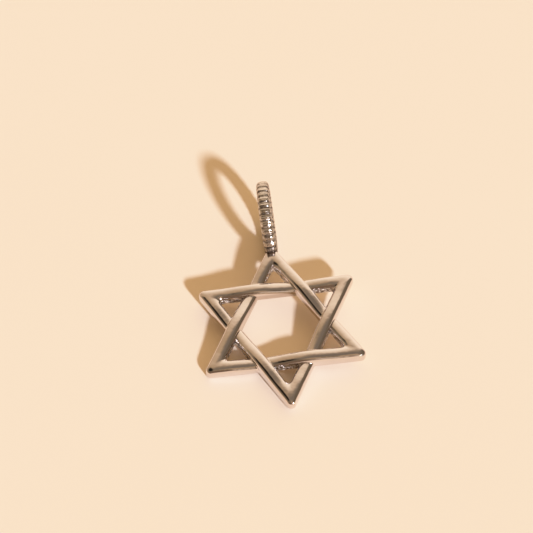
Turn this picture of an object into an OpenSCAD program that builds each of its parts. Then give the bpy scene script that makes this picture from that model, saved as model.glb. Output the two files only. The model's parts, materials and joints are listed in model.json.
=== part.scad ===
// Star of David pendant, lying face up on a flat surface
//
// A cast star of two interlaced triangles, with an oval bail of ribbed wire soldered
// upright to its top tip. The pendant rests on its bottom tip, its lower left tip and
// the underside of the bail. The star is drawn flat first, with its back at z = 0 and
// its top tip towards +Y, and is then tipped onto those three places. All sizes are in
// millimetres.

/* [Star] */
// Height of the star, from its bottom tip to its top tip
star_h = 25; // [18:0.5:40]
// Width of each bar
bar_w = 1.85; // [1.2:0.05:2.4]
// Depth of each bar, from its flat back to the top of its crown
bar_d = 1.8; // [1.4:0.05:2.8]
// Height of the rounded crown, above the steep sides
crown_h = 0.8; // [0.3:0.05:1]
// How far a bar rises where it passes over another, and sinks where it passes under
weave_rise = 0.32; // [0.1:0.02:0.5]
// Length over which a bar rises or sinks, on each side of a crossing
bend_l = 5.25; // [3:0.25:6]
// Radius that rounds the outside of each tip
tip_round = 0.7; // [0.3:0.05:0.9]
// Radius that rounds the inside of each tip
inner_round = 0.4; // [0.2:0.05:0.6]
// Bevel along the edges of the back
back_bevel = 0.15; // [0.05:0.05:0.3]

/* [Bail] */
// Outer length of the oval
bail_l = 11.6; // [9:0.1:16]
// Outer height of the oval
bail_h = 9.4; // [7:0.1:12]
// Diameter of the ribbed wire, over its ribs
wire_d = 1.8; // [1:0.05:2.2]
// Depth of the grooves between the ribs
groove_d = 0.12; // [0.05:0.01:0.2]
// Number of ribs once round the oval
ribs = 32; // [16:1:40]
// Angle at which the far end of the oval stands up from the star
bail_tilt = 11.5; // [0:0.5:25]
// Angle at which the oval leans towards the left tips
bail_lean = 4.5; // [0:0.5:6]
// How far inside the top tip the wire's centre line passes
solder_depth = 0.35; // [0.1:0.05:0.6]

/* [Hidden] */

// Radius from the star's centre to the corner where two bars' centre lines meet
corner_r = star_h / 2 - bar_w + tip_round;
// Distance from the star's centre to the centre line of a bar
bar_r = corner_r / 2;
// Length of a bar's centre line, from corner to corner
bar_l = corner_r * sqrt(3);
// Distance along a bar from its middle to a crossing
crossing_x = bar_l / 6;
// Angle between two bars of one triangle, and between any two neighbouring bars
triangle_turn = 120;
bar_turn = 60;
// Angle from the side of a bar to the line through its tip
tip_turn = 60;

function unit(v) = v / norm(v);

// A cosine or sine drawn out towards a squarer curve
crown_power = 0.75;
function squarer(v) = sign(v) * pow(abs(v), crown_power);

// A smooth hump, 1 at its middle and 0 from bend_l away
function hump(x) = abs(x) < bend_l ? (1 + cos(180 * x / bend_l)) / 2 : 0;

// Rise of the crown at x along a bar: down at the first crossing and up at the second
function rise(x) = weave_rise * (hump(x - crossing_x) - hump(x + crossing_x));

// A bar's section, each point as distance across, height, and 1 where it follows the weave
crown_steps = 8;
bar_section = concat(
    [
        [-bar_w / 2, back_bevel, 0],
        [-bar_w / 2 + back_bevel, 0, 0],
        [bar_w / 2 - back_bevel, 0, 0],
        [bar_w / 2, back_bevel, 0]
    ],
    [
        for (i = [0:crown_steps])
            let (a = 180 * i / crown_steps)
            [bar_w / 2 * squarer(cos(a)), bar_d - crown_h + crown_h * squarer(sin(a)), 1]
    ]
);

// The section at x along the bar that runs below the star's centre
function straight_section(x) = [
    for (p = bar_section) [x, -bar_r - p[0], p[1] + p[2] * rise(x)]
];

// Round a tip, sections fan out from a pivot, the centre of the inside rounding. Each is
// given by its angle and by its reach, the distance from the pivot to the outside
tip_steps = 4;
round_reach = 2 * (bar_w + inner_round - tip_round);
function round_point(a) =
    round_reach * [sin(tip_turn), cos(tip_turn)] + tip_round * [sin(a), cos(a)];
fan_angle = atan2(round_point(0)[0], round_point(0)[1]) / 2;
tip_fan = concat(
    [[fan_angle, (inner_round + bar_w) / cos(fan_angle)]],
    [
        for (i = [0:tip_steps])
            let (point = round_point(tip_turn * i / tip_steps))
            [atan2(point[0], point[1]), norm(point)]
    ]
);

// The section at one place of the fan, at the bar's end (side 1) or its start (side -1)
function tip_section(place, side) = [
    for (p = bar_section)
        let (
            along_share = (p[0] / bar_w + 0.5),
            out = inner_round + along_share * (place[1] - inner_round)
        )
        [
            side * (straight_l + out * sin(place[0])),
            -bar_r + bar_w / 2 + inner_round - out * cos(place[0]),
            p[1]
        ]
];

// All sections of that bar, from one side of its start to the middle line of its end
bar_steps = 14;
straight_l = bar_l / 2 - (bar_w + 2 * inner_round) * sin(tip_turn);
bar_sections = concat(
    [for (i = [tip_steps - 1:-1:0]) tip_section(tip_fan[i], -1)],
    [for (i = [0:bar_steps]) straight_section(straight_l * (2 * i / bar_steps - 1))],
    [for (place = tip_fan) tip_section(place, 1)]
);

// Points turned about the star's centre
function turned(points, a) = [
    for (p = points) [p[0] * cos(a) - p[1] * sin(a), p[0] * sin(a) + p[1] * cos(a), p[2]]
];

// All sections round one triangle, whose first bar is turned through start
function triangle_sections(start) = [
    for (k = [0:2], s = bar_sections) turned(s, start + triangle_turn * k)
];
triangles = [triangle_sections(0), triangle_sections(bar_turn)];

// The oval that the wire of the bail follows: half its length and height, and its centre
oval_a = (bail_l - wire_d) / 2;
oval_b = (bail_h - wire_d) / 2;
foot = [0, star_h / 2 - solder_depth, bar_d / 2];

// Directions along the oval's length, up its height, and out of its flat side
oval_along = [0, cos(bail_tilt), sin(bail_tilt)];
oval_up = [
    -sin(bail_lean),
    -sin(bail_tilt) * cos(bail_lean),
    cos(bail_tilt) * cos(bail_lean)
];
oval_side = unit(cross(oval_along, oval_up));

function oval_point(t) = foot + oval_a * (1 + cos(t)) * oval_along + oval_b * sin(t) * oval_up;

// Length and angle at small steps round the oval, to space the ribs evenly
oval_steps = 120;
oval_lengths = [
    for (
        i = 0, l = 0;
        i <= oval_steps;
        i = i + 1,
        l = l + norm(oval_point(360 * i / oval_steps) - oval_point(360 * (i - 1) / oval_steps))
    )
        [l, 360 * i / oval_steps]
];

// Angle on the oval at a share of its whole length
function oval_angle(share) =
    lookup((share - floor(share)) * oval_lengths[oval_steps][0], oval_lengths);

// Ribs go round the wire as rings, with narrow grooves between them
wire_sides = 14;
rib_steps = 5;
groove_power = 1.6;
wire_rings = ribs * rib_steps;

function wire_point(i, j) =
    let (
        t = oval_angle(i / wire_rings),
        outward = cross(unit(oval_point(t + 1) - oval_point(t - 1)), oval_side),
        groove_share = pow(1 - abs(sin(180 * i / rib_steps)), groove_power),
        r = wire_d / 2 - groove_d * groove_share,
        a = 360 * j / wire_sides
    )
    oval_point(t) + r * (sin(a) * oval_side + cos(a) * outward);

wire_points = [for (i = [0:wire_rings - 1], j = [0:wire_sides - 1]) wire_point(i, j)];

// Place of a point in that list, where the last ring and side are followed by the first
function wire_index(i, j) = (i % wire_rings) * wire_sides + j % wire_sides;

wire_faces = [
    for (i = [0:wire_rings - 1], j = [0:wire_sides - 1])
        [
            wire_index(i, j),
            wire_index(i, j + 1),
            wire_index(i + 1, j + 1),
            wire_index(i + 1, j)
        ]
];

// Points round one tip: those of a triangle's sections that lie out past reach in its direction
tip_reach = corner_r - bar_w;
function tip_points(triangle, direction) = [
    for (section = triangle, p = section)
        if (p * [cos(direction), sin(direction), 0] > tip_reach) p
];

// The point of a list that is lowest, where up is the upward direction
function lowest(points, up) =
    let (heights = [for (p = points) p * up])
    points[search(min(heights), heights)[0]];

// The upward direction for a pendant that touches with its bottom tip, its lower left
// tip and its bail, found in a few rounds from the lowest point of each
bottom_tip = tip_points(triangles[1], 270);
left_tip = tip_points(triangles[0], 210);
rest_rounds = 5;
function resting_up(rounds) =
    rounds <= 0
        ? [0, 0, 1]
        : let (
            up = resting_up(rounds - 1),
            bottom = lowest(bottom_tip, up),
            left = lowest(left_tip, up),
            bail = lowest(wire_points, up)
        )
        unit(cross(bail - bottom, left - bottom));

rest_up = resting_up(rest_rounds);
rest_x = unit(cross([0, 1, 0], rest_up));
rest_axes = [rest_x, cross(rest_up, rest_x), rest_up];

// Every point as the pendant rests, to stand it on z = 0 with its middle over the origin
rested = [
    for (
        p = concat([for (t = triangles, section = t) each section], wire_points)
    )
        rest_axes * p
];
low = [for (axis = [0:2]) min([for (p = rested) p[axis]])];
high = [for (axis = [0:2]) max([for (p = rested) p[axis]])];
rest_shift = [-(low[0] + high[0]) / 2, -(low[1] + high[1]) / 2, -low[2]];

// Solid between two sections of a bar. A point a little beyond the middle of each section
// makes it overlap the next one
overlap = 0.08;
function middle(points) = [
    for (axis = [0:2])
        (max([for (p = points) p[axis]]) + min([for (p = points) p[axis]])) / 2
];

module stretch(a, b) {
    beyond = overlap * unit(middle(b) - middle(a));
    points = concat(a, b, [middle(a) - beyond, middle(b) + beyond]);
    hull() polyhedron(points, [[for (i = [0:len(points) - 1]) i]]);
}

// The cast star: two triangles that pass over and under each other, fused at the crossings
module star() {
    for (sections = triangles, i = [0:len(sections) - 1])
        stretch(sections[i], sections[(i + 1) % len(sections)]);
}

// The oval bail of ribbed wire, whose near end passes down through the top tip
module bail() {
    polyhedron(wire_points, wire_faces, convexity = 6);
}

// Star and bail are soldered into one solid
module pendant() {
    color([0.84, 0.82, 0.79])
        translate(rest_shift)
            multmatrix(rest_axes) {
                star();
                bail();
            }
}

pendant();
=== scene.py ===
import json
import math

import bmesh
import bpy
from mathutils import Matrix, Vector

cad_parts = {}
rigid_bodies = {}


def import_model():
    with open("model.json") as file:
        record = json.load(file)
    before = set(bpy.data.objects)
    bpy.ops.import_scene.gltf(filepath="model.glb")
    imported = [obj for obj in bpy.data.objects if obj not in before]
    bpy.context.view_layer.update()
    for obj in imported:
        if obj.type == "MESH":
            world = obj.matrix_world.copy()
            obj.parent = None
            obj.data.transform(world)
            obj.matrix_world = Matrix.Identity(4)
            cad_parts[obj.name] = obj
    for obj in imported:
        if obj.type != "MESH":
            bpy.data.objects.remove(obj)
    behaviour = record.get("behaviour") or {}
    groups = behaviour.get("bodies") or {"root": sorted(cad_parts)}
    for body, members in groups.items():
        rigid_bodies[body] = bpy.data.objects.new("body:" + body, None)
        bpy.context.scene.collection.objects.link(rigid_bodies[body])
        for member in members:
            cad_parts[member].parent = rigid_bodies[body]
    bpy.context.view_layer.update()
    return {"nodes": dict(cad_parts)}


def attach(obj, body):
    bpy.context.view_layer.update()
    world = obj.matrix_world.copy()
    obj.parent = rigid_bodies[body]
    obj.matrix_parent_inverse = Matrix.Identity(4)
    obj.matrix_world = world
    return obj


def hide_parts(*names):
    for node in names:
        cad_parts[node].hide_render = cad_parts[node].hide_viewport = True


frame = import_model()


# The camera
#
# It looks down at the pendant from in front and a little to the left, as in the photograph.
# It sees the star from about 55 degrees above the floor, with a field of view of 26 degrees.
MM = 0.001
photo_px = 533
focal_px = 1172.0
camera_place = Vector((-13.293, -96.666, 135.062)) * MM
camera_axes = Matrix((
    (0.993821, 0.082807, -0.073906),
    (-0.110710, 0.786913, -0.607052),
    (0.007889, 0.611483, 0.791218),
))

camera = bpy.data.objects.new("camera", bpy.data.cameras.new("camera"))
bpy.context.scene.collection.objects.link(camera)
camera.data.sensor_width = 36
camera.data.lens = focal_px / photo_px * camera.data.sensor_width
camera.data.clip_start = 1 * MM
camera.data.clip_end = 5
camera.matrix_world = Matrix.Translation(camera_place) @ camera_axes.to_4x4()
bpy.context.scene.camera = camera


# The floor
#
# Smooth matte paper in pale beige, laid flat. It fills the view, and the steep sides of the
# silver mirror it. Paper scatters light evenly, with a faint fibre grain.
def linear(code):
    """The linear colour of an sRGB hex code."""
    values = [int(code[i:i + 2], 16) / 255 for i in (1, 3, 5)]
    return [v / 12.92 if v <= 0.04045 else ((v + 0.055) / 1.055) ** 2.4 for v in values] + [1]


def add(tree, kind, settings=None, links=None):
    """A node of that kind, with its settings, and its inputs set or linked by name."""
    node = tree.nodes.new("ShaderNode" + kind)
    for name, value in (settings or {}).items():
        setattr(node, name, value)
    for name, value in (links or {}).items():
        if isinstance(value, bpy.types.NodeSocket):
            tree.links.new(value, node.inputs[name])
        else:
            node.inputs[name].default_value = value
    return node


def new_material(name):
    material = bpy.data.materials.new(name)
    material.use_nodes = True
    material.node_tree.nodes.clear()
    return material, material.node_tree


def alone(piece):
    """Only this piece is selected and active."""
    bpy.ops.object.select_all(action="DESELECT")
    piece.select_set(True)
    bpy.context.view_layer.objects.active = piece


floor_size = 2.4
floor_cuts = 7
# Real fibres lie closer: they are drawn this coarse to show
fibre_spacing = 0.35 * MM
# The paper's tone varies in clouds about 71 mm across
clouds_per_metre = 14.0

bpy.ops.mesh.primitive_plane_add(size=floor_size)
floor = bpy.context.object
floor.name = "floor"
bpy.ops.object.mode_set(mode="EDIT")
bpy.ops.mesh.subdivide(number_cuts=floor_cuts)
bpy.ops.object.mode_set(mode="OBJECT")

paper, tree = new_material("beige_paper")
place = add(tree, "TexCoord")
fibres = add(tree, "TexNoise", {}, {
    "Vector": place.outputs["Object"],
    "Scale": 1 / fibre_spacing,
    "Detail": 3.0,
})
clouds = add(tree, "TexNoise", {}, {
    "Vector": place.outputs["Object"],
    "Scale": clouds_per_metre,
    "Detail": 2.0,
})
tone = add(tree, "Mix", {"data_type": "RGBA"}, {
    "Factor": clouds.outputs["Fac"],
    "A": linear("#f8ebdb"),
    "B": linear("#f6e8d7"),
})
bump = add(tree, "Bump", {}, {
    "Height": fibres.outputs["Fac"],
    "Strength": 0.05,
    "Distance": 0.02 * MM,
})
shader = add(tree, "BsdfPrincipled", {}, {
    "Base Color": tone.outputs["Result"],
    "Roughness": 0.9,
    "Specular IOR Level": 0.2,
    "Normal": bump.outputs["Normal"],
})
add(tree, "OutputMaterial", {}, {"Surface": shader.outputs["BSDF"]})
floor.data.materials.append(paper)


# The light
#
# A low key light from the right and in front throws the long shadows. A warm room lights the
# rest, with a broad golden fill from the right that the silver doesn't mirror. What it mirrors
# of the room is a bright wall beyond the pendant, a dim ceiling, and darker sides.
def towards(azimuth, elevation):
    a, e = math.radians(azimuth), math.radians(elevation)
    return Vector((math.cos(a) * math.cos(e), math.sin(a) * math.cos(e), math.sin(e)))


def lamp(name, azimuth, elevation, angle, energy, colour):
    """A lamp like the sun in that direction, as wide as that angle, all in degrees."""
    light = bpy.data.objects.new(name, bpy.data.lights.new(name, "SUN"))
    bpy.context.scene.collection.objects.link(light)
    light.data.angle = math.radians(angle)
    light.data.energy = energy
    light.data.color = colour
    light.rotation_mode = "QUATERNION"
    light.rotation_quaternion = towards(azimuth, elevation).to_track_quat("Z", "Y")
    return light


lamp("key_light", -64.6, 28.5, 4.8, 4.08, (0.97, 0.92, 1.0))
fill = lamp("fill_light", 5, 50, 80, 0.6, (1.0, 0.62, 0.29))
fill.visible_glossy = False

world = bpy.data.worlds.new("room")
bpy.context.scene.world = world
world.use_nodes = True
tree = world.node_tree
tree.nodes.clear()
place = add(tree, "TexCoord")


def patch(colour_below, azimuth, elevation, start, end, code):
    """Colour of the room with a soft round patch, given by the cosine where it starts and ends."""
    near = add(tree, "VectorMath", {"operation": "DOT_PRODUCT"}, {
        0: place.outputs["Generated"],
        1: towards(azimuth, elevation),
    })
    share = add(tree, "MapRange", {"interpolation_type": "SMOOTHSTEP"}, {
        "Value": near.outputs["Value"],
        "From Min": start,
        "From Max": end,
    })
    return add(tree, "Mix", {"data_type": "RGBA"}, {
        "Factor": share.outputs["Result"],
        "A": colour_below,
        "B": linear(code),
    }).outputs["Result"]


room = linear("#b29677")
room = patch(room, 66, 16, 0.42, 0.97, "#ffe6ce")
room = patch(room, -155, 49, 0.74, 0.92, "#6e604f")
room = patch(room, -173, 60, 0.94, 0.98, "#231c16")
room = patch(room, -112, 26, 0.81, 0.92, "#6f5a49")
room = patch(room, -70, 26, 0.94, 0.98, "#bfab98")
room = patch(room, -16, 33, 0.61, 0.79, "#685a4a")
room = patch(room, -6, 82, 0.88, 1.0, "#74675a")

# The light that the room gives is more golden, and a little stronger, than what the camera
# sees mirrored of it
matte_strength = 1.39
mirrored_strength = 1.3
path = add(tree, "LightPath")
mirrored = add(tree, "Math", {"operation": "GREATER_THAN"}, {
    0: path.outputs["Is Glossy Ray"],
    1: path.outputs["Diffuse Depth"],
})
golden = add(tree, "Mix", {"data_type": "RGBA", "blend_type": "MULTIPLY"}, {
    "Factor": 1.0,
    "A": room,
    "B": linear("#fff3d6"),
})
seen = add(tree, "Mix", {"data_type": "RGBA"}, {
    "Factor": mirrored.outputs["Value"],
    "A": golden.outputs["Result"],
    "B": room,
})
strength = add(tree, "MapRange", {}, {
    "Value": mirrored.outputs["Value"],
    "To Min": matte_strength,
    "To Max": mirrored_strength,
})
walls = add(tree, "Background", {}, {
    "Color": seen.outputs["Result"],
    "Strength": strength.outputs["Result"],
})
add(tree, "OutputWorld", {}, {"Surface": walls.outputs["Background"]})

# As in a camera, the brightest tones are pressed together, from about 60% of white upwards.
# The last of the four curves acts on red, green and blue alike
view = bpy.context.scene.view_settings
view.view_transform = "Standard"
view.use_curve_mapping = True
white = 1.25
view.curve_mapping.white_level = (white, white, white)
response = view.curve_mapping.curves[3]
response.points[1].location = (1, 0.985)
for light_in, tone_out in ((0.3, 0.375), (0.5, 0.62), (0.7, 0.825), (0.85, 0.93)):
    response.points.new(light_in, tone_out)
view.curve_mapping.update()


# The star
#
# Two interlaced triangles cast in one piece in sterling silver, 25 mm from tip to tip, then
# tumbled and polished to a mirror. Each bar has a flat back, steep sides and a rounded top,
# and rises where it passes over another bar and sinks where it passes under.
star_h = 25 * MM
bar_w = 1.85 * MM
bar_d = 1.8 * MM
crown_h = 0.8 * MM
weave_rise = 0.32 * MM
bend_l = 5.25 * MM
tip_round = 0.7 * MM
inner_round = 0.4 * MM
back_bevel = 0.15 * MM
crown_steps = 12
crown_power = 0.75
tip_steps = 6
bar_steps = 22
tip_turn = math.radians(60)

corner_r = star_h / 2 - bar_w + tip_round
bar_l = corner_r * math.sqrt(3)
straight_l = bar_l / 2 - (bar_w + 2 * inner_round) * math.sin(tip_turn)

# Which way is up for the lying pendant, seen from the star, and where the star's middle lies
rest_up = Vector((0.0571565, 0.098998, 0.993445)).normalized()
rest_middle = Vector((0.0330272, -4.91897, 1.2202)) * MM
rest_x = Vector((0, 1, 0)).cross(rest_up).normalized()
rest_turn = Matrix((rest_x, rest_up.cross(rest_x), rest_up)).to_4x4()
rest_place = Matrix.Translation(rest_middle) @ rest_turn


def squarer(v):
    return math.copysign(abs(v) ** crown_power, v)


def hump(x):
    return (1 + math.cos(math.pi * x / bend_l)) / 2 if abs(x) < bend_l else 0


def rise(x):
    """A bar passes over one bar and under another, a sixth of its length from its middle."""
    return weave_rise * (hump(x - bar_l / 6) - hump(x + bar_l / 6))


# The bar's section: distance across, height, and how far the point follows the weave
side_z = (bar_d - crown_h) * 0.6
side_follow = 0.3
section = [
    (-bar_w / 2, back_bevel, 0),
    (-bar_w / 2 + back_bevel, 0, 0),
    (0, 0, 0),
    (bar_w / 2 - back_bevel, 0, 0),
    (bar_w / 2, back_bevel, 0),
    (bar_w / 2, side_z, side_follow),
]
for i in range(crown_steps + 1):
    a = math.pi * i / crown_steps
    section.append((
        bar_w / 2 * squarer(math.cos(a)),
        bar_d - crown_h + crown_h * squarer(math.sin(a)),
        1,
    ))
section.append((-bar_w / 2, side_z, side_follow))


def straight_ring(x):
    return [Vector((x, -corner_r / 2 - p[0], p[1] + p[2] * rise(x))) for p in section]


def tip_ring(angle, reach, side):
    """The section in a plane that fans out from the centre of the tip's inside rounding."""
    ring = []
    for p in section:
        out = inner_round + (p[0] / bar_w + 0.5) * (reach - inner_round)
        x = straight_l + out * math.sin(angle)
        lift = p[2] * rise(straight_l) * (1 - angle / tip_turn)
        ring.append(Vector((
            side * x,
            -corner_r / 2 + bar_w / 2 + inner_round - out * math.cos(angle),
            p[1] + side * lift,
        )))
    return ring


# The tip's outside: straight on to a small rounding, whose centre lies on the middle line
fan = []
round_reach = 2 * (bar_w + inner_round - tip_round)
for i in range(tip_steps + 1):
    a = tip_turn * i / tip_steps
    across = round_reach * math.sin(tip_turn) + tip_round * math.sin(a)
    along = round_reach * math.cos(tip_turn) + tip_round * math.cos(a)
    fan.append((math.atan2(across, along), math.hypot(across, along)))
first = fan[0][0]
lead_in = [first * share for share in (0.25, 0.5, 0.75)]
fan = [(a, (inner_round + bar_w) / math.cos(a)) for a in lead_in] + fan

bar_rings = [tip_ring(a, reach, -1) for a, reach in reversed(fan[:-1])]
bar_rings += [straight_ring(straight_l * (2 * i / bar_steps - 1)) for i in range(bar_steps + 1)]
bar_rings += [tip_ring(a, reach, 1) for a, reach in fan]
rings = []
for k in range(3):
    turn = Matrix.Rotation(math.radians(120 * k), 3, "Z")
    rings += [[turn @ p for p in ring] for ring in bar_rings]

# One triangle is drawn out of a circle, ring after ring, and its ends are bridged. Each point
# of the last ring is found again by its place, rounded to so many digits of a metre
digits = 8
bpy.ops.mesh.primitive_circle_add(vertices=len(section), radius=bar_w / 2)
star = bpy.context.object
star.name = "star"
alone(star)
bpy.ops.object.mode_set(mode="EDIT")
shape = bmesh.from_edit_mesh(star.data)
for v, p in zip(shape.verts, rings[0]):
    v.co = p
for last, ring in zip(rings, rings[1:]):
    bpy.ops.mesh.extrude_edges_move()
    shape = bmesh.from_edit_mesh(star.data)
    where = {tuple(round(c, digits) for c in p): q for p, q in zip(last, ring)}
    for v in shape.verts:
        if v.select:
            v.co = where[tuple(round(c, digits) for c in v.co)]
bpy.ops.mesh.select_all(action="DESELECT")
bpy.ops.mesh.select_mode(type="EDGE")
bpy.ops.mesh.select_non_manifold()
bpy.ops.mesh.bridge_edge_loops()
bpy.ops.mesh.select_all(action="SELECT")
bpy.ops.mesh.normals_make_consistent(inside=False)
bpy.ops.object.mode_set(mode="OBJECT")
smoother = star.modifiers.new("smooth", "SUBSURF")
smoother.levels = smoother.render_levels = 2
bpy.ops.object.modifier_apply(modifier="smooth")

# The second triangle is the first turned by 60 degrees, and the two are cast together
bpy.ops.object.duplicate()
second = bpy.context.object
second.data.transform(Matrix.Rotation(math.radians(60), 4, "Z"))
alone(star)
cast = star.modifiers.new("cast", "BOOLEAN")
cast.operation = "UNION"
cast.solver = "EXACT"
cast.object = second
bpy.ops.object.modifier_apply(modifier="cast")
bpy.data.objects.remove(second)

# Where one bar meets another the casting leaves a small fillet
merge_distance = 0.002 * MM
inner_corner = math.radians(-25)
fillet_softness = 0.5
fillet_passes = 6
bpy.ops.object.mode_set(mode="EDIT")
bpy.ops.mesh.select_all(action="SELECT")
bpy.ops.mesh.remove_doubles(threshold=merge_distance)
bpy.ops.mesh.dissolve_degenerate(threshold=merge_distance)
bpy.ops.mesh.select_all(action="DESELECT")
shape = bmesh.from_edit_mesh(star.data)
for edge in shape.edges:
    if edge.calc_face_angle_signed(0) < inner_corner:
        for v in edge.verts:
            v.select = True
shape.select_flush(True)
bpy.ops.mesh.select_more()
bpy.ops.mesh.vertices_smooth(factor=fillet_softness, repeat=fillet_passes)

# The union leaves some faces with many sides, which are split into even triangles
bpy.ops.mesh.select_mode(type="FACE")
bpy.ops.mesh.select_face_by_sides(number=4, type="GREATER", extend=False)
bpy.ops.mesh.quads_convert_to_tris(ngon_method="BEAUTY")
bpy.ops.object.mode_set(mode="OBJECT")

# The polishing wheel doesn't reach into the six small holes, whose walls stay as cast. The
# lower walls of the hexagon are marked for painted shade, a darker colour on them
inside = star.data.attributes.new("inside", "FLOAT", "POINT")
steep = star.data.attributes.new("steep", "FLOAT", "POINT")
wall_in = corner_r / 2 - bar_w / 2
wall_out = corner_r / 2 + bar_w / 2
margin = 0.12 * MM
polished_z = bar_d - crown_h * 0.5
fade = crown_h * 0.4
directions = [math.radians(30 + 60 * k) for k in range(6)]
for v, mark, wall_shade in zip(star.data.vertices, inside.data, steep.data):
    low = min(max((polished_z - v.co.z) / fade, 0), 1)
    ahead = [v.co.x * math.cos(a) + v.co.y * math.sin(a) for a in directions]
    # Painted shade: the lower walls inside the hexagon are marked to take a darker colour
    if max(ahead) < wall_in + margin:
        wall_shade.value = low
    for k in range(6):
        if ahead[k] > wall_out - margin and max(ahead[k - 1], ahead[k - 5]) < wall_in + margin:
            mark.value = low
sharp_edge = math.radians(35)
star.data.transform(rest_place)
bpy.ops.object.shade_smooth_by_angle(angle=sharp_edge)

# Polished sterling silver: a bright, faintly warm mirror. Tumbling leaves it very slightly
# uneven, so its reflections waver, and handling leaves faint smudges. The hexagon's walls get
# painted shade, a darker colour, and in the small holes the cast skin shows, pitted and patchy.
dent_spacing = 1.5 * MM
pit_spacing = 0.4 * MM
smudge_size = 3 * MM
skin_roughness = 0.26
silver, tree = new_material("polished_sterling_silver")
place = add(tree, "TexCoord")
cast_skin = add(tree, "Attribute", {"attribute_name": "inside"})
# The mask of painted shade on the hexagon's lower walls
side = add(tree, "Attribute", {"attribute_name": "steep"})
dents = add(tree, "TexNoise", {}, {
    "Vector": place.outputs["Object"],
    "Scale": 1 / dent_spacing,
    "Detail": 2.0,
})
pits = add(tree, "TexNoise", {}, {
    "Vector": place.outputs["Object"],
    "Scale": 1 / pit_spacing,
    "Detail": 2.0,
})
waver = add(tree, "Bump", {}, {
    "Height": dents.outputs["Fac"],
    "Strength": 0.5,
    "Distance": 0.08 * MM,
})
bump = add(tree, "Bump", {}, {
    "Height": pits.outputs["Fac"],
    "Strength": cast_skin.outputs["Fac"],
    "Distance": 0.7 * MM,
    "Normal": waver.outputs["Normal"],
})
smudges = add(tree, "TexNoise", {}, {
    "Vector": place.outputs["Object"],
    "Scale": 1 / smudge_size,
    "Detail": 4.0,
})
gloss = add(tree, "MapRange", {}, {
    "Value": smudges.outputs["Fac"],
    "From Min": 0.35,
    "From Max": 0.7,
    "To Min": 0.04,
    "To Max": 0.08,
})
tint = add(tree, "Mix", {"data_type": "RGBA"}, {
    "Factor": smudges.outputs["Fac"],
    "A": linear("#e5ddd8"),
    "B": linear("#ded6d1"),
})
# Painted shade: the hexagon's lower walls take a darker colour
shaded_walls = add(tree, "Mix", {"data_type": "RGBA"}, {
    "Factor": side.outputs["Fac"],
    "A": tint.outputs["Result"],
    "B": linear("#c9bcb0"),
})
patchy = add(tree, "MapRange", {}, {
    "Value": pits.outputs["Fac"],
    "From Min": 0.4,
    "From Max": 0.62,
})
skin = add(tree, "Mix", {"data_type": "RGBA"}, {
    "Factor": patchy.outputs["Result"],
    "A": linear("#7d7064"),
    "B": linear("#f2ebe2"),
})
skin_tone = add(tree, "Mix", {"data_type": "RGBA"}, {
    "Factor": cast_skin.outputs["Fac"],
    "A": shaded_walls.outputs["Result"],
    "B": skin.outputs["Result"],
})
dullness = add(tree, "Math", {"operation": "MULTIPLY_ADD"}, {
    0: cast_skin.outputs["Fac"],
    1: skin_roughness,
    2: gloss.outputs["Result"],
})
shader = add(tree, "BsdfPrincipled", {}, {
    "Base Color": skin_tone.outputs["Result"],
    "Metallic": 1.0,
    "Roughness": dullness.outputs["Value"],
    "Normal": bump.outputs["Normal"],
})
add(tree, "OutputMaterial", {}, {"Surface": shader.outputs["BSDF"]})
star.data.materials.append(silver)
for slot in frame["nodes"]["pendant"].material_slots:
    slot.material = silver
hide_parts("pendant")
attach(star, "root")


# The bail
#
# A closed oval of silver wire with ribs rolled round it, soldered upright to the star's top
# tip. The ribs are polished, and dark oxide is left in the grooves and round the joint. The
# joint and the wire's flanks are also darkened with painted shade.
bail_l = 11.6 * MM
bail_h = 9.4 * MM
wire_d = 1.8 * MM
groove_d = 0.12 * MM
groove_power = 1.6
ribs = 32
bail_tilt = math.radians(11.5)
bail_lean = math.radians(4.5)
solder_depth = 0.35 * MM
rib_steps = 8
wire_sides = 28
# The wire's section is squarer than round
wire_power = 0.64

oval_a = (bail_l - wire_d) / 2
oval_b = (bail_h - wire_d) / 2
foot = Vector((0, star_h / 2 - solder_depth, bar_d / 2))
oval_along = Vector((0, math.cos(bail_tilt), math.sin(bail_tilt)))
oval_up = Vector((
    -math.sin(bail_lean),
    -math.sin(bail_tilt) * math.cos(bail_lean),
    math.cos(bail_tilt) * math.cos(bail_lean),
))
oval_side = oval_along.cross(oval_up).normalized()


def oval_point(t):
    return foot + oval_a * (1 + math.cos(t)) * oval_along + oval_b * math.sin(t) * oval_up


# Lengths along the oval at small steps, to space the ribs evenly
oval_steps = 720
lengths = [0]
for i in range(oval_steps):
    a, b = 2 * math.pi * i / oval_steps, 2 * math.pi * (i + 1) / oval_steps
    lengths.append(lengths[-1] + (oval_point(b) - oval_point(a)).length)


def oval_angle(share):
    want = share * lengths[-1]
    low, high = 0, oval_steps
    while high - low > 1:
        middle = (low + high) // 2
        low, high = (middle, high) if lengths[middle] <= want else (low, middle)
    part = (want - lengths[low]) / (lengths[high] - lengths[low])
    return 2 * math.pi * (low + part) / oval_steps
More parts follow.
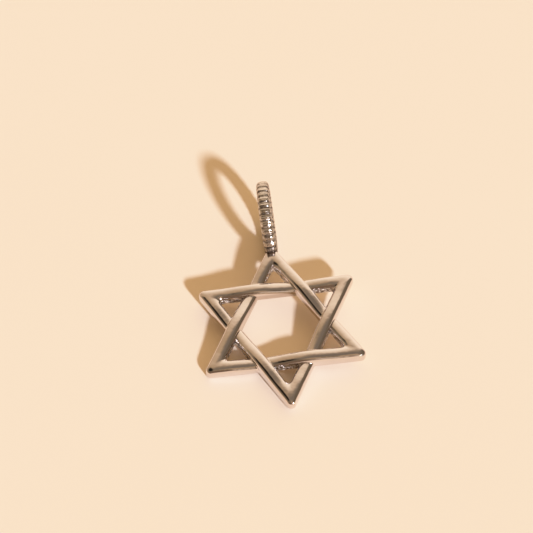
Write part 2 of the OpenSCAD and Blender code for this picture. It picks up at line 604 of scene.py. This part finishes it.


# A round ring of wire, whose rings of points are moved onto the oval and grooved. Each point is
# marked with how much oxide its groove keeps plus painted shade on the wire's flanks, with the
# oxide and painted shade round the solder joint, and with its place along the ribs
wire_rings = ribs * rib_steps
ring_r = bail_l / 2
angle_step = 0.02
groove_oxide = 0.62
# Painted shade: the wire's flanks darken the more they face sideways
flank_shade = 0.4
flank_shade_power = 5
# Oxide and painted shade in the crevice round the solder joint
joint_oxide_and_shade_level = 1.7
solder = Vector((0, star_h / 2 - 0.5 * MM, bar_d + 0.1 * MM))
solder_spread = 0.7 * MM
bpy.ops.mesh.primitive_torus_add(
    major_segments=wire_rings,
    minor_segments=wire_sides,
    major_radius=ring_r,
    minor_radius=wire_d / 2,
)
bail = bpy.context.object
bail.name = "bail"
alone(bail)
bpy.ops.object.mode_set(mode="EDIT")
shape = bmesh.from_edit_mesh(bail.data)
oxide_and_flank_shade = shape.verts.layers.float.new("oxide_and_flank_shade")
joint_oxide_and_shade = shape.verts.layers.float.new("joint_oxide_and_shade")
along = shape.verts.layers.float.new("along")
for v in shape.verts:
    i = round(math.atan2(v.co.y, v.co.x) / (2 * math.pi) * wire_rings)
    t = oval_angle(i / wire_rings % 1)
    forward = (oval_point(t + angle_step) - oval_point(t - angle_step)).normalized()
    outward = forward.cross(oval_side)
    depth = (1 - abs(math.sin(math.pi * i / rib_steps))) ** groove_power
    r = wire_d / 2 - groove_d * depth
    a = math.atan2(v.co.z, math.hypot(v.co.x, v.co.y) - ring_r)
    across = math.copysign(abs(math.sin(a)) ** wire_power, math.sin(a))
    out = math.copysign(abs(math.cos(a)) ** wire_power, math.cos(a))
    v.co = oval_point(t) + r * (across * oval_side + out * outward)
    # Oxide in the grooves, plus painted shade on the wire's two flanks
    v[oxide_and_flank_shade] = groove_oxide * depth + flank_shade * abs(across) ** flank_shade_power
    v[along] = i / rib_steps
    # Oxide and painted shade round the solder joint
    v[joint_oxide_and_shade] = min(max(joint_oxide_and_shade_level - (v.co - solder).length / solder_spread, 0), 1)
shape.normal_update()
bpy.ops.mesh.select_all(action="SELECT")
bpy.ops.mesh.normals_make_consistent(inside=False)
bpy.ops.object.mode_set(mode="OBJECT")
smoother = bail.modifiers.new("smooth", "SUBSURF")
smoother.levels = smoother.render_levels = 1
bpy.ops.object.modifier_apply(modifier="smooth")
bail.data.transform(rest_place)
bpy.ops.object.shade_smooth()

# Oxidised silver: the worn ribs are grey and shine, with fine lines round them and small
# scuffs. The low places and the grooves keep dark brown oxide. The wire's flanks get painted
# shade, and the solder joint gets oxide and painted shade
scuff_size = 0.45 * MM
lines_per_rib = 3.5
patchiness = 1.1
ribbed, tree = new_material("oxidised_ribbed_silver")
place = add(tree, "TexCoord")
oxide_and_flank_shade_mark = add(tree, "Attribute", {"attribute_name": "oxide_and_flank_shade"})
joint_oxide_and_shade_mark = add(tree, "Attribute", {"attribute_name": "joint_oxide_and_shade"})
rib_place = add(tree, "Attribute", {"attribute_name": "along"})
patches = add(tree, "TexNoise", {}, {
    "Vector": place.outputs["Object"],
    "Scale": 1 / scuff_size,
    "Detail": 3.0,
})
lines = add(tree, "TexNoise", {"noise_dimensions": "1D"}, {
    "W": rib_place.outputs["Fac"],
    "Scale": lines_per_rib,
    "Detail": 2.0,
})
lined = add(tree, "Bump", {"invert": True}, {
    "Height": lines.outputs["Fac"],
    "Strength": 0.8,
    "Distance": 0.16 * MM,
})
wear_oxide_and_shade = add(tree, "Math", {"operation": "MULTIPLY_ADD"}, {
    0: patches.outputs["Fac"],
    1: patchiness,
    2: oxide_and_flank_shade_mark.outputs["Fac"],
})
uneven = add(tree, "Math", {"operation": "ADD"}, {
    0: wear_oxide_and_shade.outputs["Value"],
    1: joint_oxide_and_shade_mark.outputs["Fac"],
})
# Dark brown where oxide lies, and where shade is painted on the flanks and round the joint
oxide_and_painted_shade = add(tree, "MapRange", {"interpolation_type": "SMOOTHSTEP"}, {
    "Value": uneven.outputs["Value"],
    "From Min": 0.45,
    "From Max": 1.45,
})
colour = add(tree, "Mix", {"data_type": "RGBA"}, {
    "Factor": oxide_and_painted_shade.outputs["Result"],
    "A": linear("#dcd4ca"),
    "B": linear("#544639"),
})
gloss = add(tree, "MapRange", {}, {
    "Value": oxide_and_painted_shade.outputs["Result"],
    "To Min": 0.12,
    "To Max": 0.4,
})
# The oxide's pattern is turned over here, so that the oxide lies in the low places
scuffs = add(tree, "Bump", {"invert": True}, {
    "Height": patches.outputs["Fac"],
    "Strength": 0.7,
    "Distance": 0.1 * MM,
    "Normal": lined.outputs["Normal"],
})
shader = add(tree, "BsdfPrincipled", {}, {
    "Base Color": colour.outputs["Result"],
    "Metallic": 1.0,
    "Roughness": gloss.outputs["Result"],
    "Normal": scuffs.outputs["Normal"],
})
add(tree, "OutputMaterial", {}, {"Surface": shader.outputs["BSDF"]})
bail.data.materials.append(ribbed)
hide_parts("pendant")
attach(bail, "root")
